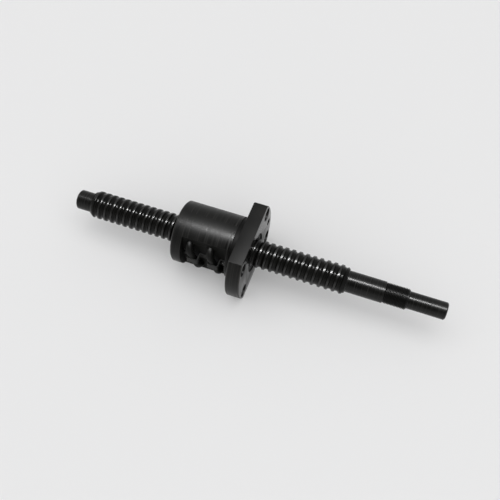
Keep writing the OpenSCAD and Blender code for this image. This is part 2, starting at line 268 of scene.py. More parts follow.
def group_node(tree, group, **values):
    """A group placed in a tree, with values for its inputs. Returns its outputs."""
    return tree_node(tree, "ShaderNodeGroup", values, node_tree=group).outputs


def noise_node(tree, place, scale, detail, dimensions="3D"):
    """A Noise Texture at a place, which is a number in one dimension. Returns its Fac output."""
    place_input = "W" if dimensions == "1D" else "Vector"
    return tree_node(tree, "ShaderNodeTexNoise", {place_input: place, "Scale": scale, "Detail": detail},
                     noise_dimensions=dimensions).outputs["Fac"]


def mixed(tree, share, one, two):
    """Two colours mixed by a share. They are inputs 6 and 7 of a Mix node. Returns the output."""
    return tree_node(tree, "ShaderNodeMix", {0: share, 6: one, 7: two}, data_type="RGBA").outputs[2]


# %% Build the group that says where on the part a point is
spot_group, _, spot_out = shader_group(
    "Place on a turned part", {}, {"Along": "Float", "Radius": "Float", "Position": "Vector"})
position = spot_group.nodes.new("ShaderNodeTexCoord").outputs["Object"]
along, *across = tree_node(spot_group, "ShaderNodeSeparateXYZ", {0: position}).outputs
squares = [math_node(spot_group, "MULTIPLY", side, side) for side in across]
radius = math_node(spot_group, "SQRT", math_node(spot_group, "ADD", *squares))
feed(spot_group, spot_out, {"Along": along, "Radius": radius, "Position": position})

# %% [markdown]
# ## Four effects of a blackened part
# Black oxide is thin: it takes the tool marks of the steel under it, it is a little uneven in tone,
# it rubs through first along the rims, and it is sold with a film of oil on it. Each effect is a
# group of its own, so that the screw, the nut and the small parts can share it with other values.

# %% Group for the uneven black tone
OXIDE = ((0.0022, 0.0022, 0.0019, 1), (0.0060, 0.0060, 0.0053, 1))
CLOUD_SCALE, CLOUD_DETAIL, CLOUD_SHARE = 60.0, 4.0, 0.6
SPECK_FINER, SPECK_DETAIL, SPECK_SHARE = 24.0, 3.0, 0.4
TONE_LOW, TONE_HIGH = 0.36, 0.64

tone_group, tone_in, tone_out = shader_group(
    "Uneven black tone", {"Dark": OXIDE[0], "Light": OXIDE[1], "Scale": CLOUD_SCALE},
    {"Color": "Color", "Cloud": "Float"})
spot = group_node(tone_group, spot_group)
speck_scale = math_node(tone_group, "MULTIPLY", tone_in["Scale"], SPECK_FINER)
cloud = noise_node(tone_group, spot["Position"], tone_in["Scale"], CLOUD_DETAIL)
speck = noise_node(tone_group, spot["Position"], speck_scale, SPECK_DETAIL)
both = math_node(tone_group, "ADD", math_node(tone_group, "MULTIPLY", cloud, CLOUD_SHARE),
                 math_node(tone_group, "MULTIPLY", speck, SPECK_SHARE))
lightness = range_node(tone_group, both, TONE_LOW, TONE_HIGH, 0.0, 1.0)
color = mixed(tone_group, lightness, tone_in["Dark"], tone_in["Light"])
feed(tone_group, tone_out, {"Color": color, "Cloud": cloud})

# %% Group for the lathe's rings, and the wider bands that a blunt tool leaves
RING_DETAIL = 2.0
BAND_RINGS, BAND_DEPTH = 5.0, 4.0

rings_group, rings_in, rings_out = shader_group(
    "Turning rings", {"Spacing": 0.25 * MM, "Depth": 0.004 * MM}, {"Height": "Float", "Bands": "Float"})
spot = group_node(rings_group, spot_group)
slide = math_node(rings_group, "ADD", spot["Along"], spot["Radius"])
step = math_node(rings_group, "DIVIDE", slide, rings_in["Spacing"])
rings = noise_node(rings_group, step, 1.0, RING_DETAIL, "1D")
bands = noise_node(rings_group, step, 1 / BAND_RINGS, RING_DETAIL, "1D")
turning = math_node(rings_group, "ADD", rings, math_node(rings_group, "MULTIPLY", bands, BAND_DEPTH))
height = math_node(rings_group, "MULTIPLY", turning, rings_in["Depth"])
feed(rings_group, rings_out, {"Height": height, "Bands": bands})

# %% Group for the worn rims
RAGGED_SCALE, RAGGED_DETAIL, RAGGED_LEAST = 420.0, 3.0, 0.35

rim_group, rim_in, rim_out = shader_group(
    "Worn rim", {"Along": 0.0, "Radius": 20 * MM, "Width": 0.6 * MM}, {"Mask": "Float"})
spot = group_node(rim_group, spot_group)
off = [math_node(rim_group, "SUBTRACT", spot[label], rim_in[label]) for label in ("Along", "Radius")]
squares = [math_node(rim_group, "MULTIPLY", d, d) for d in off]
reach = math_node(rim_group, "SQRT", math_node(rim_group, "ADD", *squares))
uneven = noise_node(rim_group, spot["Position"], RAGGED_SCALE, RAGGED_DETAIL)
ragged = math_node(rim_group, "MULTIPLY", rim_in["Width"],
                   math_node(rim_group, "ADD", uneven, RAGGED_LEAST))
feed(rim_group, rim_out, {"Mask": range_node(rim_group, reach, 0.0, ragged, 1.0, 0.0)})

# %% Group for the film of oil
POOL_DETAIL, POOL_LOW, POOL_HIGH = 3.0, 0.42, 0.62

oil_group, oil_in, oil_out = shader_group("Film of oil", {"Scale": 30.0, "Amount": 1.0}, {"Film": "Float"})
spot = group_node(oil_group, spot_group)
pool = noise_node(oil_group, spot["Position"], oil_in["Scale"], POOL_DETAIL)
film = range_node(oil_group, pool, POOL_LOW, POOL_HIGH, 0.0, 1.0)
feed(oil_group, oil_out, {"Film": math_node(oil_group, "MULTIPLY", film, oil_in["Amount"])})

# %% [markdown]
# ## One function for all the black steel
# Tone, rings, worn rims and oil go into one Principled shader, so a finish is a single call with
# its numbers: how rough the cut is, how far apart and how deep its marks are, how much oil stands on
# it and how strongly it reflects. The coarse bands of the marks also lighten the colour a little,
# partly as the tool's own bands and partly as painted streaks of sheen. Each finish is mixed further
# down, next to the piece that wears it.

# %% A function for blackened steel
# RUBBED is bare steel where the rims wear through. The second colour is a lighter tone painted along the
# lathe's coarse bands: partly the tool's bands, partly painted streaks of sheen.
RUBBED, SHEEN_STREAK_TONE = (0.05, 0.049, 0.046, 1), (0.020, 0.0195, 0.018, 1)
SHEEN_STREAK_LOW, SHEEN_STREAK_HIGH, SHEEN_STREAK_BANDS = 0.52, 0.72, 0.08
NOISE_LOW, NOISE_HIGH = 0.3, 0.7
CLOUD_ROUGH, OIL_SMOOTH = 0.04, 0.06


def bump_node(tree, height):
    """The normal of a surface with this height in metres. Returns the output."""
    return tree_node(tree, "ShaderNodeBump", {
        "Strength": 1.0, "Distance": 1.0, "Height": height}).outputs["Normal"]


def blackened_steel(name, tones, rough, spacing, depth, oil, gloss, bands=0.0, rims=()):
    """Black oxide on steel. Marks are in mm, rims are (place, radius, width) of worn edges in metres."""
    paint, tree, shader = new_paint(name)
    tone = group_node(tree, tone_group, Dark=tones[0], Light=tones[1])
    marks = group_node(tree, rings_group, Spacing=spacing * MM, Depth=depth * MM)
    film = group_node(tree, oil_group, Amount=oil)
    # Painted sheen: the coarse turning bands lighten the colour in streaks, partly for the tool's bands and
    # partly for the light they catch.
    sheen_streak = range_node(tree, marks["Bands"], SHEEN_STREAK_LOW, SHEEN_STREAK_HIGH, 0.0, bands / SHEEN_STREAK_BANDS)
    color = mixed(tree, sheen_streak, tone["Color"], SHEEN_STREAK_TONE)
    worn = 0.0
    for along, radius, width in rims:
        rim = group_node(tree, rim_group, Along=along, Radius=radius, Width=width)
        worn = math_node(tree, "MAXIMUM", worn, rim["Mask"])
    if rims:
        color = mixed(tree, worn, color, RUBBED)
    cloudy = range_node(tree, tone["Cloud"], NOISE_LOW, NOISE_HIGH,
                        rough - CLOUD_ROUGH, rough + CLOUD_ROUGH)
    banded = range_node(tree, marks["Bands"], NOISE_LOW, NOISE_HIGH, -bands, bands)
    oiled = math_node(tree, "MULTIPLY", film["Film"], -OIL_SMOOTH)
    feed(tree, shader, {
        "Base Color": color, "Normal": bump_node(tree, marks["Height"]),
        "Roughness": math_node(tree, "ADD", math_node(tree, "ADD", cloudy, banded), oiled),
        "Specular IOR Level": gloss})
    return paint


# %% [markdown]
# ## Meshes
# A few small tools do most of the work. One turns a profile about the axis, as a lathe does, and one
# joins such parts. One merges doubles, turns the faces outwards and keeps edges sharp where they
# are. One cuts a shape out of another, and the last gives a finished piece its finish, its name and
# its body. Every mesh stays in the frame's own place, so its object sits at the origin.

# %% Helpers that make a mesh
TURN_STEPS = 96
DOUBLES = 0.002 * MM
SHARP_ANGLE = math.radians(32)


def tidy(mesh, sharp=SHARP_ANGLE):
    """Merges doubles, turns faces outwards and marks the sharp edges. Returns how many are open."""
    shape = bmesh.new()
    shape.from_mesh(mesh)
    bmesh.ops.remove_doubles(shape, verts=shape.verts, dist=DOUBLES)
    bmesh.ops.dissolve_degenerate(shape, edges=shape.edges, dist=DOUBLES)
    bmesh.ops.recalc_face_normals(shape, faces=shape.faces)
    for face in shape.faces:
        face.smooth = True
    for edge in shape.edges:
        edge.smooth = edge.is_manifold and edge.calc_face_angle(0.0) < sharp
    open_edges = sum(not edge.is_manifold for edge in shape.edges)
    shape.to_mesh(mesh)
    shape.free()
    return open_edges


def turned(name, profile, steps=TURN_STEPS):
    """A surface of revolution about the X axis from (place, radius) points. A radius of 0 is a pole."""
    points, rows, faces = [], [], []
    for along, radius in profile:
        if radius <= 0:
            rows.append([len(points)] * steps)
            points.append((along, 0.0, 0.0))
        else:
            rows.append([len(points) + k for k in range(steps)])
            points += [(along, radius * math.cos(2 * math.pi * k / steps),
                        radius * math.sin(2 * math.pi * k / steps)) for k in range(steps)]
    for one, two in zip(rows, rows[1:]):
        for k in range(steps):
            corners = [one[k], one[(k + 1) % steps], two[(k + 1) % steps], two[k]]
            faces.append([c for i, c in enumerate(corners) if c not in corners[:i]])
    return mesh_from(name, points, faces)


def box_mesh(name, low, high):
    """A closed box between two corners."""
    corners = [(x, y, z) for x in (low[0], high[0]) for y in (low[1], high[1]) for z in (low[2], high[2])]
    return mesh_from(name, corners, [(0, 1, 3, 2), (4, 6, 7, 5), (0, 4, 5, 1),
                                     (2, 3, 7, 6), (0, 2, 6, 4), (1, 5, 7, 3)])


def joined(name, meshes, numbers=None):
    """One mesh from several. numbers says which of the piece's finishes each part gets."""
    shape = bmesh.new()
    for mesh, number in zip(meshes, numbers or [0] * len(meshes)):
        before = len(shape.faces)
        shape.from_mesh(mesh)
        shape.faces.ensure_lookup_table()
        for face in shape.faces[before:]:
            face.material_index = number
    result = bpy.data.meshes.new(name)
    shape.to_mesh(result)
    shape.free()
    return result


# %% Helpers that cut and finish a mesh
def baked(target):
    """The plain mesh that an object's modifiers make. The object itself is removed."""
    graph = bpy.context.evaluated_depsgraph_get()
    graph.update()
    mesh = bpy.data.meshes.new_from_object(target.evaluated_get(graph), depsgraph=graph)
    bpy.data.objects.remove(target)
    return mesh


def cut_out(mesh, cutters):
    """What is left of a mesh when closed meshes are taken out of it."""
    target = object_from("blank", mesh)
    helpers = [object_from("cutter", cutter) for cutter in cutters]
    for helper in helpers:
        change = target.modifiers.new("cut", "BOOLEAN")
        change.operation = "DIFFERENCE"
        change.solver = "EXACT"
        change.object = helper
    result = baked(target)
    for helper in helpers:
        bpy.data.objects.remove(helper)
    return result


def finished(name, mesh, body, slot, paints, *nodes, sharp=SHARP_ANGLE):
    """The last step for a piece: its finishes, name, body and the solids that it stands for."""
    numbers = [face.material_index for face in mesh.polygons]
    mesh.materials.clear()
    for paint in paints:
        mesh.materials.append(paint)
    # Clearing sets every face to the first finish, so a piece with several gets its numbers back.
    if len(paints) > 1:
        mesh.polygons.foreach_set("material_index", numbers)
    left_open = tidy(mesh, sharp)
    piece = object_from(name, mesh)
    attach(piece, body)
    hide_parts(*nodes)
    low, high = ([round(f(v.co[k] for v in mesh.vertices) / MM, 1) for k in range(3)] for f in (min, max))
    print(f"{name}: {len(mesh.polygons)} faces, {left_open} open edges, from {low} to {high} mm")


# %% [markdown]
# ## One tree for every thread
# The ball groove, the lock nut's thread and the small screws are all the same idea: a profile of
# one pitch that runs along a helix. Geometry Nodes do that with a grid. One side of the grid runs
# along the helix and the other across one pitch, and each grid point takes its place and radius
# from a point of the profile. The last row lies on the first row one turn later, so merging by
# distance closes the skin. Both ends are held back to a flat face and a cone, as a turned run-out.

# %% Helpers for geometry trees
def geometry_tree(name, numbers, counts=()):
    """An empty geometry tree. Returns it, the sockets that it is given, and its output node."""
    tree = bpy.data.node_groups.new(name, "GeometryNodeTree")
    kinds = {"Geometry": "Geometry", **dict.fromkeys(numbers, "Float"),
             **dict.fromkeys(counts, "Int"), "Material": "Material"}
    for label, kind in kinds.items():
        tree.interface.new_socket(name=label, in_out="INPUT", socket_type="NodeSocket" + kind)
    tree.interface.new_socket(name="Geometry", in_out="OUTPUT", socket_type="NodeSocketGeometry")
    return tree, tree.nodes.new("NodeGroupInput").outputs, tree.nodes.new("NodeGroupOutput")


def end_tree(tree, geometry, given, result):
    """The end of each tree: its instances are made real and get the material."""
    real = tree_node(tree, "GeometryNodeRealizeInstances", {"Geometry": geometry})
    painted = tree_node(tree, "GeometryNodeSetMaterial", {
        "Geometry": real.outputs["Geometry"], "Material": given["Material"]})
    feed(tree, result, {"Geometry": painted.outputs["Geometry"]})
    print("tree:", tree.name)


def grown(name, points, edges, tree, inputs):
    """The plain mesh that a geometry tree makes from points and edges."""
    holder = object_from(name, mesh_from(name, points, [], edges))
    change = holder.modifiers.new(name, "NODES")
    change.node_group = tree
    for item in tree.interface.items_tree:
        if item.name in inputs:
            change[item.identifier] = inputs[item.name]
    return baked(holder)


# %% Start the thread tree with a grid: one row for each point of the profile
thread_tree, given, result = geometry_tree(
    "Thread from a profile", ["Lead", "Start", "Hand", "Rear", "Front", "End radius", "End slope"],
    ["Turns", "Steps"])


def maths(operation, *values):
    """A Math node in the thread tree. Returns its output."""
    return math_node(thread_tree, operation, *values)


size_of = tree_node(thread_tree, "GeometryNodeAttributeDomainSize",
                    {"Geometry": given["Geometry"]}, component="MESH")
row_count = size_of.outputs["Point Count"]
all_steps = maths("MULTIPLY", given["Turns"], given["Steps"])
grid = tree_node(thread_tree, "GeometryNodeMeshGrid", {
    "Size X": 1.0, "Size Y": 1.0, "Vertices X": maths("ADD", all_steps, 1.0), "Vertices Y": row_count})
grid_place = tree_node(thread_tree, "GeometryNodeInputPosition").outputs[0]
on_grid = tree_node(thread_tree, "ShaderNodeSeparateXYZ", {0: grid_place}).outputs
turn = maths("MULTIPLY", maths("ADD", on_grid[0], 0.5), given["Turns"])
last_row = maths("SUBTRACT", row_count, 1.0)
row = maths("ROUND", maths("MULTIPLY", maths("ADD", on_grid[1], 0.5), last_row))
sample = tree_node(thread_tree, "GeometryNodeSampleIndex",
                   {"Geometry": given["Geometry"], "Value": grid_place, "Index": row},
                   data_type="FLOAT_VECTOR", domain="POINT")
on_profile = tree_node(thread_tree, "ShaderNodeSeparateXYZ", {0: sample.outputs["Value"]}).outputs
print("thread tree so far:", len(thread_tree.nodes), "nodes")

# %% Wind the grid along the helix
run = maths("ADD", given["Start"], maths("MULTIPLY", turn, given["Lead"]))
free_place = maths("ADD", run, on_profile[0])
held = maths("MINIMUM", maths("MAXIMUM", free_place, given["Rear"]), given["Front"])
from_end = maths("MINIMUM", maths("SUBTRACT", held, given["Rear"]), maths("SUBTRACT", given["Front"], held))
cone = maths("ADD", given["End radius"], maths("MULTIPLY", from_end, given["End slope"]))
out = maths("MINIMUM", on_profile[1], cone)
angle = maths("MULTIPLY", maths("MULTIPLY", turn, 2 * math.pi), given["Hand"])
wound = tree_node(thread_tree, "ShaderNodeCombineXYZ", {
    0: held, 1: maths("MULTIPLY", out, maths("COSINE", angle)),
    2: maths("MULTIPLY", out, maths("SINE", angle))})
moved = tree_node(thread_tree, "GeometryNodeSetPosition", {
    "Geometry": grid.outputs["Mesh"], "Position": wound.outputs[0]})
merged = tree_node(thread_tree, "GeometryNodeMergeByDistance", {
    "Geometry": moved.outputs["Geometry"], "Distance": DOUBLES})
end_tree(thread_tree, merged.outputs["Geometry"], given, result)


def thread(name, profile, lead, phase, rear, front, end_radius, end_slope, paint,
           hand=1.0, steps=TURN_STEPS):
    """A threaded skin on the X axis between two places. At phase the profile's zero faces +Y."""
    start = phase + lead * (math.floor((rear - phase) / lead) - 1)
    turns = math.ceil((front - start) / lead) + 1
    mesh = grown(name, [(x, r, 0.0) for x, r in profile], [], thread_tree, {
        "Lead": lead, "Start": start, "Turns": turns, "Steps": steps, "Hand": hand, "Rear": rear,
        "Front": front, "End radius": end_radius, "End slope": end_slope, "Material": paint})
    print(f"{name}: {turns} turns, {len(mesh.polygons)} faces")
    return mesh


# %% [markdown]
# ## The screw
# The screw is one piece of steel, so it is one closed mesh: the ground helix in the middle, with
# turned ends that share its ring of points. Its profile is an arc around the balls' centres with a
# broken edge at each side and a flat land between two grooves. The thread is left hand here,
# because the picture shows it so. The lock nut's thread is fine, one turn a millimetre. The grooves
# hold the most oil, the lands between them shine, and the journals are ground to an even satin.

# %% Draw the ball groove
HAND = -1.0
LEAD = 5 * MM
BALL_R = 3.175 / 2 * MM
TRACK_R = 20.75 / 2 * MM
GROOVE_PLAY = 0.18 * MM
GROOVE_R = BALL_R + GROOVE_PLAY
LAND_R = 9.9 * MM
LAND_EDGE = 0.12 * MM
ARC_STEPS = 10

half_angle = math.acos((TRACK_R - LAND_R + LAND_EDGE / 2) / GROOVE_R)
groove_profile = []
for k in range(ARC_STEPS + 1):
    angle = half_angle * (2 * k / ARC_STEPS - 1)
    groove_profile.append((GROOVE_R * math.sin(angle), TRACK_R - GROOVE_R * math.cos(angle)))
edge_x = groove_profile[-1][0]
groove_profile += [(edge_x + LAND_EDGE, LAND_R), (LEAD - edge_x - LAND_EDGE, LAND_R),
                   (LEAD - edge_x, groove_profile[0][1])]
print("groove", round(2 * edge_x / MM, 2), "mm wide, land", round((LEAD - 2 * edge_x) / MM, 2), "mm wide")

# %% Mix the screw's finishes
groove_black = blackened_steel("blackened ball groove", OXIDE, 0.25, 0.4, 0.003, oil=1.0, gloss=0.12)
land_black = blackened_steel("blackened thread land", OXIDE, 0.27, 0.4, 0.002, oil=0.6, gloss=0.5)
ground_black = blackened_steel("blackened ground journal", OXIDE, 0.30, 0.2, 0.0015, oil=0.3, gloss=0.24,
                               bands=0.03)
fine_black = blackened_steel("blackened fine thread", OXIDE, 0.38, 0.3, 0.002, oil=0.3, gloss=0.2)
screw_finishes = [groove_black, fine_black, ground_black, land_black]

# %% Cut the screw's two threads
REAR_LOOP, FRONT_LOOP = -28.75 * MM, -13.75 * MM
THREAD_REAR, THREAD_FRONT = -113 * MM, 76 * MM
RUN_OUT_R, RUN_OUT_L = 8.4 * MM, 2.2 * MM
JOURNAL_END, LOCK_END, LOCK_R, CHAMFER = 102 * MM, 118 * MM, 7.3 * MM, 0.8 * MM
FINE_PITCH, FINE_DEPTH, FINE_FLAT, FINE_FLANK = 1.0 * MM, 0.58 * MM, 0.12 * MM, 0.32 * MM

ball_thread = thread("ball_thread", groove_profile, LEAD, REAR_LOOP + LEAD / 2, THREAD_REAR, THREAD_FRONT,
                     RUN_OUT_R, (LAND_R - RUN_OUT_R) / RUN_OUT_L, groove_black, hand=HAND)
fine_root = LOCK_R - FINE_DEPTH
fine_profile = [(0.0, fine_root), (FINE_FLAT, fine_root), (FINE_FLAT + FINE_FLANK, LOCK_R),
                (FINE_PITCH - FINE_FLANK, LOCK_R), (FINE_PITCH, fine_root)]
lock_thread = thread("lock_thread", fine_profile, FINE_PITCH, JOURNAL_END, JOURNAL_END, LOCK_END,
                     LOCK_R - CHAMFER, 1.0, fine_black)

# %% Turn the screw's plain lengths
REAR_TIP, DRIVE_TIP = -125 * MM, 144 * MM
REAR_R, JOURNAL_R, DRIVE_R = 7 * MM, 7.5 * MM, 6 * MM
REAR_CORNER, JOURNAL_CORNER, DRIVE_CORNER = 0.25 * MM, 0.3 * MM, 0.2 * MM
CENTRE_DEPTH, CENTRE_WALL, CENTRE_CONE = 4.2 * MM, 3.6 * MM, 1.9 * MM
CENTRE_R, CENTRE_MOUTH = 1.0 * MM, 2.1 * MM


def centre_hole(tip, direction):
    """Profile of the small drilled centre in a shaft's end, from the pole to the end face's edge."""
    return [(tip - direction * CENTRE_DEPTH, 0.0), (tip - direction * CENTRE_WALL, CENTRE_R),
            (tip - direction * CENTRE_CONE, CENTRE_R), (tip, CENTRE_MOUTH)]


rear_end = turned("rear_end", centre_hole(REAR_TIP, -1) + [
    (REAR_TIP, REAR_R - CHAMFER), (REAR_TIP + CHAMFER, REAR_R), (THREAD_REAR - REAR_CORNER, REAR_R),
    (THREAD_REAR, REAR_R + REAR_CORNER), (THREAD_REAR, RUN_OUT_R)])
journal = turned("journal", [
    (THREAD_FRONT, RUN_OUT_R), (THREAD_FRONT, JOURNAL_R + JOURNAL_CORNER),
    (THREAD_FRONT + JOURNAL_CORNER, JOURNAL_R), (JOURNAL_END - JOURNAL_CORNER, JOURNAL_R),
    (JOURNAL_END, JOURNAL_R - JOURNAL_CORNER), (JOURNAL_END, LOCK_R - CHAMFER)])
drive_end = turned("drive_end", [
    (LOCK_END, LOCK_R - CHAMFER), (LOCK_END, DRIVE_R + DRIVE_CORNER), (LOCK_END + DRIVE_CORNER, DRIVE_R),
    (DRIVE_TIP - CHAMFER, DRIVE_R), (DRIVE_TIP, DRIVE_R - CHAMFER)] + centre_hole(DRIVE_TIP, 1)[::-1])
print("plain lengths:", [len(mesh.polygons) for mesh in (rear_end, journal, drive_end)], "faces")

# %% Join the screw and tell its lands from its grooves
LAND_SLACK = 0.02 * MM

screw_mesh = joined("screw", [ball_thread, lock_thread, rear_end, journal, drive_end],
                    [screw_finishes.index(paint) for paint in
                     (groove_black, fine_black, ground_black, ground_black, ground_black)])
lands = [face for face in screw_mesh.polygons
         if min(math.hypot(*screw_mesh.vertices[k].co.yz) for k in face.vertices) > LAND_R - LAND_SLACK]
for face in lands:
    face.material_index = screw_finishes.index(land_black)
print("land faces:", len(lands))
finished("screw", screw_mesh, "screw", "screw_steel", screw_finishes, "screw_shaft")

# %% [markdown]
# ## The nut
# The nut's outside is turned and milled: a round body, a relief groove, a flange with two flats,
# counterbored holes and a pocket for the tubes. The solid model already has every one of these
# faces exactly, so the piece starts as a merged copy of it. A narrow bevel then breaks its sharp
# edges, because on a real part it is those small bright lines that show where one face ends. The
# bevel's own steps stay sharp: shaded smooth, they would bend the light on the flat faces too. Each
# tool leaves its own surface, so the turned, ground, milled and roughly cut faces have a finish each.

# %% Mix the nut's finishes
NUT_REAR, NUT_RIM_R = -45 * MM, 21.5 * MM
FLANGE_T, FLANGE_R, FLAT_Z, RECESS_R = 10 * MM, 33.5 * MM, 22 * MM, 14 * MM

nut_black = blackened_steel("blackened nut", OXIDE, 0.38, 0.25, 0.003, oil=0.4, gloss=0.2, bands=0.08, rims=[
    (0.0, FLANGE_R, 0.8 * MM), (FLANGE_T, FLANGE_R, 0.8 * MM), (NUT_REAR, NUT_RIM_R, 0.9 * MM),
    (FLANGE_T, RECESS_R, 0.5 * MM)])
face_black = blackened_steel("blackened ground face", OXIDE, 0.22, 0.2, 0.001, oil=0.6, gloss=0.3)
flat_black = blackened_steel("blackened milled flat", OXIDE, 0.42, 0.3, 0.002, oil=0.4, gloss=0.2)
rough_black = blackened_steel("blackened rough cut", OXIDE, 0.55, 0.5, 0.004, oil=0.2, gloss=0.08)
nut_finishes = [nut_black, face_black, flat_black, rough_black]

# %% Copy the nut and break its edges
CAD_DOUBLES = 0.001 * MM
CAD_FLAT = math.radians(0.6)
SMALL = 0.1 * MM
EDGE_BREAK, EDGE_STEPS, EDGE_FULLNESS = 0.18 * MM, 2, 0.6
EDGE_ANGLE = math.radians(28)

nut_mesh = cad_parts["nut_body"].data.copy()
shape = bmesh.new()
shape.from_mesh(nut_mesh)
bmesh.ops.remove_doubles(shape, verts=shape.verts, dist=CAD_DOUBLES)
bmesh.ops.dissolve_limit(shape, angle_limit=CAD_FLAT, use_dissolve_boundaries=False,
                         verts=shape.verts, edges=shape.edges)
outside_edges = [edge for edge in shape.edges
                 if edge.is_convex and edge.calc_face_angle(0.0) > EDGE_ANGLE
                 and all(math.hypot(v.co.y, v.co.z) > RECESS_R - SMALL for v in edge.verts)]
bmesh.ops.bevel(shape, geom=outside_edges, offset=EDGE_BREAK, offset_type="OFFSET", segments=EDGE_STEPS,
                profile=EDGE_FULLNESS, affect="EDGES", clamp_overlap=False)
shape.to_mesh(nut_mesh)
shape.free()
print("nut:", len(outside_edges), "edges broken,", len(nut_mesh.polygons), "faces")

# %% Give each face of the nut the finish of the tool that cut it
POCKET_REAR, POCKET_FRONT, POCKET_FLOOR = -37.5 * MM, -5 * MM, 14.4 * MM
RELIEF_W, RELIEF_R = 3 * MM, 21.5 * MM
SQUARE_ON = 0.99
FACET_ANGLE = math.radians(20)


def nut_finish(face):
    """Which of the nut's finishes a face has, by where it lies and which way it looks."""
    at, way = face.center, face.normal
    if way.x > SQUARE_ON and at.x > FLANGE_T - SMALL:
        return face_black
    if abs(way.z) > SQUARE_ON and abs(at.z) > FLAT_Z - SMALL:
        return flat_black
    in_pocket = POCKET_REAR - SMALL < at.x < POCKET_FRONT + SMALL and at.y < SMALL - POCKET_FLOOR
    in_relief = -RELIEF_W - SMALL < at.x < SMALL and math.hypot(at.y, at.z) < RELIEF_R + SMALL
    if in_relief or in_pocket and (way.y < -SQUARE_ON or abs(way.x) > SQUARE_ON):
        return rough_black
    return nut_black


for face in nut_mesh.polygons:
    face.material_index = nut_finishes.index(nut_finish(face))
for number, paint in enumerate(nut_finishes):
    print(paint.name, "on", sum(face.material_index == number for face in nut_mesh.polygons), "faces")
finished("nut", nut_mesh, "nut", "nut_steel", nut_finishes, "nut_body", sharp=FACET_ANGLE)

# %% [markdown]
# ## The return tubes
# Each tube picks the balls out of the groove on one side of the screw and drops them back one and a
# half turns further. It is a bent pipe, so it is a circle swept along a line: two straight legs,
# two bends and a straight top that crosses the nut at a slant. Solidify gives the pipe its wall, and
# the inner half of each leg's end is cut away as a scoop.

# %% Build the sweep tree
sweep_tree, given, result = geometry_tree("Pipe along a line", ["Radius"], ["Sides"])
circle = tree_node(sweep_tree, "GeometryNodeCurvePrimitiveCircle", {
    "Resolution": given["Sides"], "Radius": given["Radius"]})
line = tree_node(sweep_tree, "GeometryNodeMeshToCurve", {"Mesh": given["Geometry"]})
swept = tree_node(sweep_tree, "GeometryNodeCurveToMesh", {
    "Curve": line.outputs["Curve"], "Profile Curve": circle.outputs["Curve"]})
end_tree(sweep_tree, swept.outputs["Mesh"], given, result)

# %% Lay out the way of the balls outside the nut
LOOP_TURNS = 1.5
LOOP_L = LOOP_TURNS * LEAD
TUBE_HEIGHT, BEND_R, BEND_STEPS = 18.25 * MM, 5 * MM, 14
SCOOP_TOP, SCOOP_TIP = 6.5 * MM, 1.5 * MM
LEG_L = TUBE_HEIGHT - BEND_R
PLAN_L = math.hypot(LOOP_L, 2 * TRACK_R)


def tube_point(middle, share, height):
    """A point over the nut's side: share runs from leg to leg, height is out from the axis."""
    return Vector((middle + LOOP_L * (share - 0.5), -height, HAND * 2 * TRACK_R * (share - 0.5)))


def tube_way(middle):
    """Points along one tube, from the end of one leg to the end of the other."""
    half = [(0.0, SCOOP_TIP), (0.0, (SCOOP_TIP + LEG_L) / 2)]
    half += [(BEND_R * (1 - math.cos(t)), LEG_L + BEND_R * math.sin(t))
             for t in [math.pi / 2 * k / BEND_STEPS for k in range(BEND_STEPS + 1)]]
    far = [(PLAN_L - p, h) for p, h in reversed(half)]
    return [tube_point(middle, p / PLAN_L, h) for p, h in half + far]


print("legs", round(2 * TRACK_R / MM, 2), "mm apart across and", round(LOOP_L / MM, 2), "mm along")

# %% Bend the two tubes
TUBE_R, TUBE_WALL, TUBE_SIDES = 2.25 * MM, (4.5 - 3.45) / 2 * MM, 40
SCOOP_REACH, SCOOP_BACK = 6.5 * MM, 0.5 * MM
tube_black = blackened_steel("blackened tube", OXIDE, 0.45, 0.6, 0.002, oil=0.8, gloss=0.16)

for label, middle in (("rear", REAR_LOOP), ("front", FRONT_LOOP)):
    way = tube_way(middle)
    pipe = grown("pipe", way, [(k, k + 1) for k in range(len(way) - 1)], sweep_tree, {
        "Radius": TUBE_R, "Sides": TUBE_SIDES, "Material": tube_black})
    tidy(pipe)
    walled = object_from("walled_pipe", pipe)
    wall = walled.modifiers.new("wall", "SOLIDIFY")
    wall.thickness = TUBE_WALL
    wall.offset = 0.0
    scoop = box_mesh("scoop", (middle - SCOOP_REACH, -SCOOP_TOP, -TRACK_R),
                     (middle + SCOOP_REACH, SCOOP_BACK, TRACK_R))
    tube_mesh = cut_out(baked(walled), [scoop])
    finished(f"{label}_tube", tube_mesh, "nut", "tube_steel", [tube_black], f"{label}_return_tube")

# %% [markdown]
# ## The clamp
# A strip of sheet is bent up over both tubes, with a foot at each end and one between them. A bent
# strip is a line with rounded corners that is given a width and then a thickness, so its corners
# come out with an inner and an outer radius, as a folding tool leaves them.

# %% Draw the clamp's line
CLAMP_T, CLAMP_W, CLAMP_PLAY = 0.8 * MM, 4.5 * MM, 0.05 * MM
FOLD_R, FOLD_STEPS = 0.75 * MM, 5
HEAD_R, HEAD_GAP = 1.9 * MM, 0.15 * MM
plan_angle = math.atan2(2 * TRACK_R, LOOP_L)
HAT_HALF = TUBE_R / math.sin(plan_angle) + CLAMP_W / 2 * LOOP_L / (2 * TRACK_R) + CLAMP_PLAY
SCREW_REACH = HAT_HALF + CLAMP_T + HEAD_GAP + HEAD_R
CLAMP_X = (REAR_LOOP - SCREW_REACH, FRONT_LOOP + SCREW_REACH)


def rounded(points):
    """The line through these points with each inner corner turned into an arc."""
    line = [Vector(points[0])]
    for a, b, c in zip(points, points[1:], points[2:]):
        a, b, c = Vector(a), Vector(b), Vector(c)
        one, two = (a - b).normalized(), (c - b).normalized()
        back = FOLD_R / math.tan(one.angle(two) / 2)
        centre = b + (one + two).normalized() * math.hypot(FOLD_R, back)
        start, end = [(b + way * back - centre).normalized() for way in (one, two)]
        line += [centre + start.slerp(end, k / FOLD_STEPS) * FOLD_R for k in range(FOLD_STEPS + 1)]
    return line + [Vector(points[-1])]


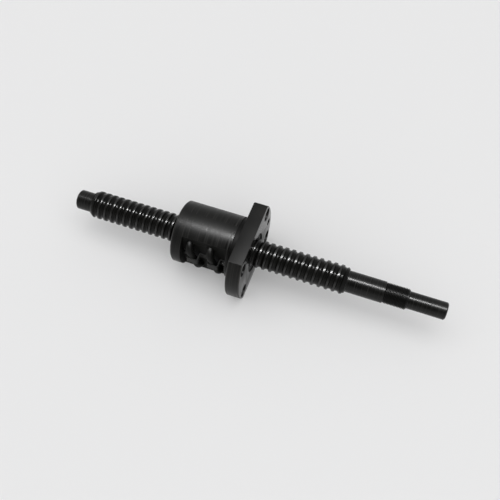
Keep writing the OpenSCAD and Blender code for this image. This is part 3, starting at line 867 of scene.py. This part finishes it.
mid = CLAMP_T / 2
foot_y, hat_y = POCKET_FLOOR + mid, TUBE_HEIGHT + TUBE_R + CLAMP_PLAY + mid
path = [(CLAMP_X[0] - HEAD_R - CLAMP_PLAY, foot_y)]
for middle in (REAR_LOOP, FRONT_LOOP):
    path += [(middle - HAT_HALF - mid, foot_y), (middle - HAT_HALF - mid, hat_y),
             (middle + HAT_HALF + mid, hat_y), (middle + HAT_HALF + mid, foot_y)]
path.append((CLAMP_X[1] + HEAD_R + CLAMP_PLAY, foot_y))
strip = rounded([(x, -y, 0.0) for x, y in path])
print("clamp:", len(strip), "points along the strip, screws at x, mm:", [round(x / MM, 2) for x in CLAMP_X])


# %% Press the clamp from its line
def outline_of(line, thickness):
    """Closed outline of a strip seen from its edge: one side along the line, and back on the other."""
    sides = []
    for k, point in enumerate(line):
        run = (line[min(k + 1, len(line) - 1)] - line[max(k - 1, 0)]).normalized()
        sides.append((point, Vector((-run.y, run.x, 0.0)) * thickness / 2))
    return [p + s for p, s in sides] + [p - s for p, s in reversed(sides)]


def pressed(name, outline, half_width, edge):
    """A plate from its outline, with its long edges broken by a small chamfer."""
    count = len(outline)
    layers = ((-half_width, edge), (edge - half_width, 0.0), (half_width - edge, 0.0), (half_width, edge))
    points = []
    for z, inset in layers:
        for point, partner in zip(outline, reversed(outline)):
            points.append(point + (partner - point).normalized() * inset + Vector((0.0, 0.0, z)))
    faces = []
    for first in range(0, (len(layers) - 1) * count, count):
        faces += [(first + k, first + (k + 1) % count, first + count + (k + 1) % count, first + count + k)
                  for k in range(count)]
    for first in (0, (len(layers) - 1) * count):
        faces += [(first + k, first + k + 1, first + count - 2 - k, first + count - 1 - k)
                  for k in range(count // 2 - 1)]
    return mesh_from(name, points, faces)


CLAMP_EDGE = 0.1 * MM
clamp_mesh = pressed("clamp", outline_of(strip, CLAMP_T), CLAMP_W / 2, CLAMP_EDGE)
print("clamp:", tidy(clamp_mesh), "open edges")

# %% Drill the clamp
SHANK_R = 1.0 * MM
HOLE_BACK, HOLE_FRONT, HOLE_STEPS = -1 * MM, 2 * MM, 32
PRESSED = ((0.005, 0.005, 0.0045, 1), (0.013, 0.013, 0.0118, 1))
clamp_black = blackened_steel("blackened sheet", PRESSED, 0.46, 0.8, 0.002, oil=0.5, gloss=0.2)


def placed(mesh, place, axis):
    """Turns a mesh made along +X to point along -Y (about Z) or +Z (about Y), and moves it."""
    mesh.transform(Matrix.Translation(place) @ Matrix.Rotation(-math.pi / 2, 4, axis))
    return mesh


hole_r = SHANK_R + CLAMP_PLAY
holes = []
for x in CLAMP_X:
    hole = turned("hole", [(HOLE_BACK, 0.0), (HOLE_BACK, hole_r), (HOLE_FRONT, hole_r), (HOLE_FRONT, 0.0)],
                  HOLE_STEPS)
    holes.append(placed(hole, (x, -POCKET_FLOOR, 0.0), "Z"))
    tidy(hole)
finished("clamp", cut_out(clamp_mesh, holes), "nut", "tube_steel", [clamp_black], "tube_clamp")

# %% [markdown]
# ## The small screws
# Two slotted cheese-head screws hold the clamp, and a set screw with a hexagon socket holds each
# wiper ring from below. Their threads come from the same tree as the big one, with a small V.

# %% A function for small threads
V_DEPTH, V_FLANK, V_CREST = 0.55, 0.45, 0.15
NECK_DEPTH = 1.2
SMALL_STEPS = 48
screw_black = blackened_steel("blackened fastener", PRESSED, 0.32, 0.3, 0.003, oil=0.4, gloss=0.5)


def small_thread(outer, pitch, rear, front):
    """A fine V thread with a cone at both ends, and the radius of its neck there."""
    root = outer - V_DEPTH * pitch
    neck = outer - NECK_DEPTH * V_DEPTH * pitch
    profile = [(0.0, root), (V_FLANK * pitch, outer), ((V_FLANK + V_CREST) * pitch, outer), (pitch, root)]
    return thread("small_thread", profile, pitch, rear, rear, front, neck, 1.0, screw_black,
                  steps=SMALL_STEPS), neck


# %% Make the clamp screws
SHANK_L, CLAMP_PITCH = 1.6 * MM, 0.4 * MM
HEAD_L, HEAD_EDGE, HEAD_ROUND, ARC_MIDDLE = 1.3 * MM, 0.08 * MM, 0.25 * MM, 0.3
SLOT_W, SLOT_REACH, OVERCUT = 0.5 * MM, 3 * MM, 1 * MM

top = CLAMP_T + HEAD_L
for label, x in zip(("rear", "front"), CLAMP_X):
    shank, neck = small_thread(SHANK_R, CLAMP_PITCH, -SHANK_L, CLAMP_T)
    tip = turned("tip", [(-SHANK_L, 0.0), (-SHANK_L, neck)], SMALL_STEPS)
    head = turned("head", [
        (CLAMP_T, neck), (CLAMP_T, HEAD_R - HEAD_EDGE), (CLAMP_T + HEAD_EDGE, HEAD_R),
        (top - HEAD_ROUND, HEAD_R), (top - ARC_MIDDLE * HEAD_ROUND, HEAD_R - ARC_MIDDLE * HEAD_ROUND),
        (top, HEAD_R - HEAD_ROUND), (top, 0.0)], SMALL_STEPS)
    blank = joined("clamp_screw", [shank, tip, head])
    tidy(blank)
    placed(blank, (x, -POCKET_FLOOR, 0.0), "Z")
    slot = box_mesh("slot", (x - SLOT_W / 2, -POCKET_FLOOR - top - OVERCUT, -SLOT_REACH),
                    (x + SLOT_W / 2, -POCKET_FLOOR - top + HEAD_L / 2, SLOT_REACH))
    finished(f"{label}_clamp_bolt", cut_out(blank, [slot]), "nut", "fastener_steel", [screw_black],
             f"{label}_clamp_screw")

# %% Make the set screws of the wipers
RECESS_L = 5 * MM
SET_R, SET_L, SET_PITCH = 1.5 * MM, 5 * MM, 0.5 * MM
CUP_R, CUP_DEPTH = 0.8 * MM, 0.35 * MM
SOCKET_R, SOCKET_CONE, SOCKET_SIDES = 0.866 * MM, 0.4 * MM, 6

for label, x in (("rear", NUT_REAR + RECESS_L / 2), ("front", FLANGE_T - RECESS_L / 2)):
    shank, neck = small_thread(SET_R, SET_PITCH, 0.0, SET_L)
    foot = turned("foot", [(0.0, neck), (0.0, 0.0)], SMALL_STEPS)
    cup = turned("cup", [(SET_L, neck), (SET_L, CUP_R), (SET_L - CUP_DEPTH, 0.0)], SMALL_STEPS)
    blank = joined("set_screw", [shank, foot, cup])
    tidy(blank)
    socket = turned("socket", [(-OVERCUT, 0.0), (-OVERCUT, SOCKET_R), (SET_L / 2, SOCKET_R),
                               (SET_L / 2 + SOCKET_CONE, 0.0)], SOCKET_SIDES)
    for mesh in (blank, socket):
        placed(mesh, (x, 0.0, -RECESS_R - SET_L), "Y")
    tidy(socket)
    finished(f"{label}_set_screw", cut_out(blank, [socket]), "nut", "fastener_steel", [screw_black],
             f"{label}_wiper_screw")

# %% [markdown]
# ## The wiper rings
# A plastic ring in each end of the nut keeps dirt off the balls. It is a turned part with a lip at
# the bore and a shallow groove in its face, so a profile is enough. Its plastic is a little cloudy
# and keeps the fine rings of the tool.

# %% Mix the wiper's plastic
PLASTIC = ((0.010, 0.010, 0.011, 1), (0.018, 0.018, 0.019, 1))
PLASTIC_SCALE, PLASTIC_SMOOTH, PLASTIC_ROUGH = 120.0, 0.48, 0.62
PLASTIC_SPACING, PLASTIC_DEPTH = 0.3 * MM, 0.006 * MM

wiper_plastic, tree, shader = new_paint("black wiper plastic")
tone = group_node(tree, tone_group, Dark=PLASTIC[0], Light=PLASTIC[1], Scale=PLASTIC_SCALE)
marks = group_node(tree, rings_group, Spacing=PLASTIC_SPACING, Depth=PLASTIC_DEPTH)
feed(tree, shader, {
    "Base Color": tone["Color"], "Normal": bump_node(tree, marks["Height"]),
    "Roughness": range_node(tree, tone["Cloud"], NOISE_LOW, NOISE_HIGH,
                            PLASTIC_SMOOTH, PLASTIC_ROUGH)})

# %% Turn the wiper rings
WIPER_PLAY, WIPER_T, WIPER_BORE = 0.1 * MM, 4 * MM, 10.05 * MM
BACK_EDGE, FACE_EDGE, LIP = 0.2 * MM, 0.3 * MM, 1 * MM
RING_IN, RING_OUT, RING_DEPTH, RING_SLANT = 11.6 * MM, 12.9 * MM, 0.25 * MM, 0.15 * MM

wiper_r = RECESS_R - WIPER_PLAY
wiper_profile = [
    (0.0, WIPER_BORE), (0.0, wiper_r - BACK_EDGE), (BACK_EDGE, wiper_r), (WIPER_T - FACE_EDGE, wiper_r),
    (WIPER_T, wiper_r - FACE_EDGE), (WIPER_T, RING_OUT), (WIPER_T - RING_DEPTH, RING_OUT - RING_SLANT),
    (WIPER_T - RING_DEPTH, RING_IN + RING_SLANT), (WIPER_T, RING_IN), (WIPER_T, WIPER_BORE + LIP),
    (WIPER_T - LIP, WIPER_BORE), (0.0, WIPER_BORE)]
for label, floor_x, direction in (("rear", NUT_REAR + RECESS_L - WIPER_PLAY, -1),
                                  ("front", FLANGE_T - RECESS_L + WIPER_PLAY, 1)):
    ring = turned("ring", [(floor_x + direction * x, r) for x, r in wiper_profile])
    finished(f"{label}_wiper_ring", ring, "wipers", "wiper_plastic", [wiper_plastic], f"{label}_wiper")

# %% [markdown]
# ## The balls
# Forty-six balls fill each loop. Their places follow one rule: along the helix under load, then up
# one leg, over the top and down the other. The rule gives points, and Geometry Nodes put a small
# sphere on each of them, so that changing the ball or the path changes all of them at once.

# %% Mix the balls' bright steel
BALL_STEEL = ((0.55, 0.56, 0.58, 1), (0.68, 0.69, 0.71, 1))
BALL_CLOUDS, BALL_POOLS = 300.0, 900.0
BALL_SMOOTH, BALL_ROUGH = 0.10, 0.16

ball_bright, tree, shader = new_paint("bright ball steel")
tone = group_node(tree, tone_group, Dark=BALL_STEEL[0], Light=BALL_STEEL[1], Scale=BALL_CLOUDS)
film = group_node(tree, oil_group, Scale=BALL_POOLS, Amount=1.0)
feed(tree, shader, {
    "Base Color": tone["Color"], "Metallic": 1.0,
    "Roughness": range_node(tree, film["Film"], 0.0, 1.0, BALL_SMOOTH, BALL_ROUGH)})

# %% Build the tree for the balls
BALL_SUBDIVISIONS = 3

ball_tree, given, result = geometry_tree("Balls on points", ["Radius"])
ball = tree_node(ball_tree, "GeometryNodeMeshIcoSphere", {
    "Radius": given["Radius"], "Subdivisions": BALL_SUBDIVISIONS})
spread = tree_node(ball_tree, "GeometryNodeInstanceOnPoints", {
    "Points": given["Geometry"], "Instance": ball.outputs["Mesh"]})
end_tree(ball_tree, spread.outputs["Instances"], given, result)

# %% Measure the loop and share it out
BALL_PLAY = 0.1 * MM
bend_l = BEND_R * math.pi / 2
return_l = 2 * LEG_L + 2 * bend_l + PLAN_L - 2 * BEND_R
loaded_l = LOOP_TURNS * math.hypot(math.pi * 2 * TRACK_R, LEAD)
ball_count = math.floor((loaded_l + return_l) / (2 * BALL_R + BALL_PLAY))
ball_step = (loaded_l + return_l) / ball_count
print("loop, mm:", round((loaded_l + return_l) / MM, 2), "for", ball_count, "balls")


# %% Put the balls in their loops
def half_way(s):
    """Place along one half of the tube: along its plan, and out from the axis."""
    if s < LEG_L:
        return 0.0, s
    if s < LEG_L + bend_l:
        t = (s - LEG_L) / BEND_R
        return BEND_R * (1 - math.cos(t)), LEG_L + BEND_R * math.sin(t)
    return s - LEG_L - bend_l + BEND_R, TUBE_HEIGHT


def ball_place(middle, s):
    """Centre of the ball at a place s along the loop."""
    if s < loaded_l:
        turn = s / loaded_l * LOOP_TURNS
        angle = HAND * (2 * math.pi * turn - math.pi / 2)
        return middle - LOOP_L / 2 + LEAD * turn, TRACK_R * math.cos(angle), TRACK_R * math.sin(angle)
    left = loaded_l + return_l - s
    if left <= return_l / 2:
        p, h = half_way(left)
    else:
        p, h = half_way(return_l - left)
        p = PLAN_L - p
    return tube_point(middle, p / PLAN_L, h)


places = [(k + 0.5) * ball_step for k in range(ball_count)]
for label, middle in (("rear", REAR_LOOP), ("front", FRONT_LOOP)):
    for part, chosen in (("loaded", [s for s in places if s < loaded_l]),
                         ("return", [s for s in places if s >= loaded_l])):
        ball_mesh = grown("balls", [ball_place(middle, s) for s in chosen], [], ball_tree, {
            "Radius": BALL_R, "Material": ball_bright})
        finished(f"{label}_{part}_ball_row", ball_mesh, "nut", "ball_steel", [ball_bright],
                 f"{label}_{part}_balls")
